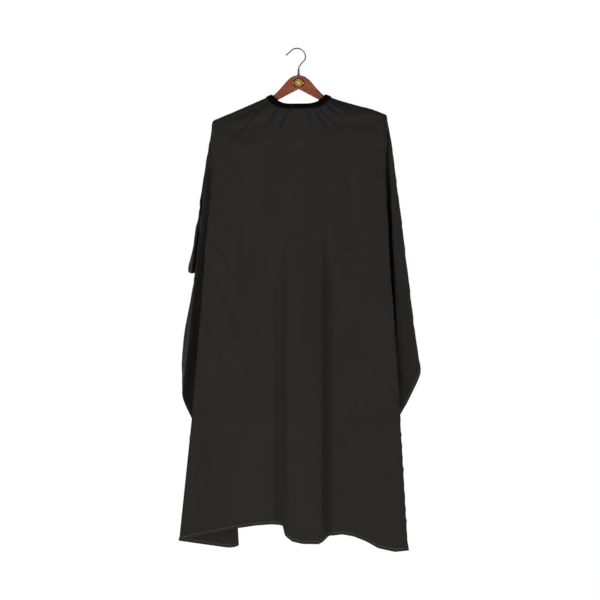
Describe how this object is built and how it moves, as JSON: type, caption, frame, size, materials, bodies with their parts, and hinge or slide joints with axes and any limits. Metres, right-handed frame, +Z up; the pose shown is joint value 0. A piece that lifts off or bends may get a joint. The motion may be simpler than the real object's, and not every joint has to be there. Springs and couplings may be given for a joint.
{
  "type": "barber cape on a hanger",
  "caption": "Long dark hairdressing cape with a gathered elastic neckband closed by snaps at the back, hung over the arms of a flat wooden hanger with a swivelling wire hook.",
  "frame": {"origin": "on the hook's swivel axis, level with the inside top of the hook, where the rail carries it", "axes": "+Z up, +X to the right seen from the front, the front of the cape faces -Y"},
  "size_m": [0.6197, 0.2575, 1.3062],
  "materials": {
    "cloth": "matte woven polyester, very dark warm charcoal",
    "band": "matte black ribbed strip",
    "elastic": "black woven elastic",
    "wood": "red-brown satin lacquer over straight grain",
    "steel": "bright plated wire",
    "brass": "satin brass",
    "plate": "dark bronze paint",
    "snap": "black acetal"
  },
  "bodies": {
    "hook": {"hook": "steel", "hook_sleeve": "steel", "hook_nut": "steel"},
    "hanger": {"hook_bush": "brass", "hanger_arm_left": "wood", "hanger_arm_right": "wood", "badge_plate": "plate", "badge_rosette": "brass", "badge_pin_left": "brass", "badge_pin_right": "brass"},
    "cape": {"cape_front": "cloth", "cape_shoulder_left": "cloth", "cape_shoulder_right": "cloth", "cape_side_left": "cloth", "cape_side_right": "cloth", "cape_back_left": "cloth", "cape_back_right": "cloth", "neckband": "band", "neckband_elastic": "elastic", "snap_stud_1": "snap", "snap_stud_2": "snap", "snap_stud_3": "snap", "snap_stud_4": "snap", "snap_post_1": "snap", "snap_post_2": "snap", "snap_post_3": "snap", "snap_post_4": "snap"},
    "neck_tab": {"neckband_tab": "band", "snap_socket_1": "snap", "snap_socket_2": "snap", "snap_cap_1": "snap", "snap_cap_2": "snap"}
  },
  "joints": [
    {"name": "hook_swivel", "type": "hinge", "parent": "hook", "child": "hanger", "pos_m": [0, 0, -0.076], "axis": [0, 0, 1], "continuous": true},
    {"name": "cape_lift", "type": "slide", "parent": "hanger", "child": "cape", "axis": [0, 0, 1], "range_m": [0, 1.35]},
    {"name": "neck_tab", "type": "hinge", "parent": "cape", "child": "neck_tab", "pos_m": [-0.052, 0.05187, -0.1496], "axis": [0, -0.5665, 0.8241], "range_deg": [0, 75]}
  ]
}
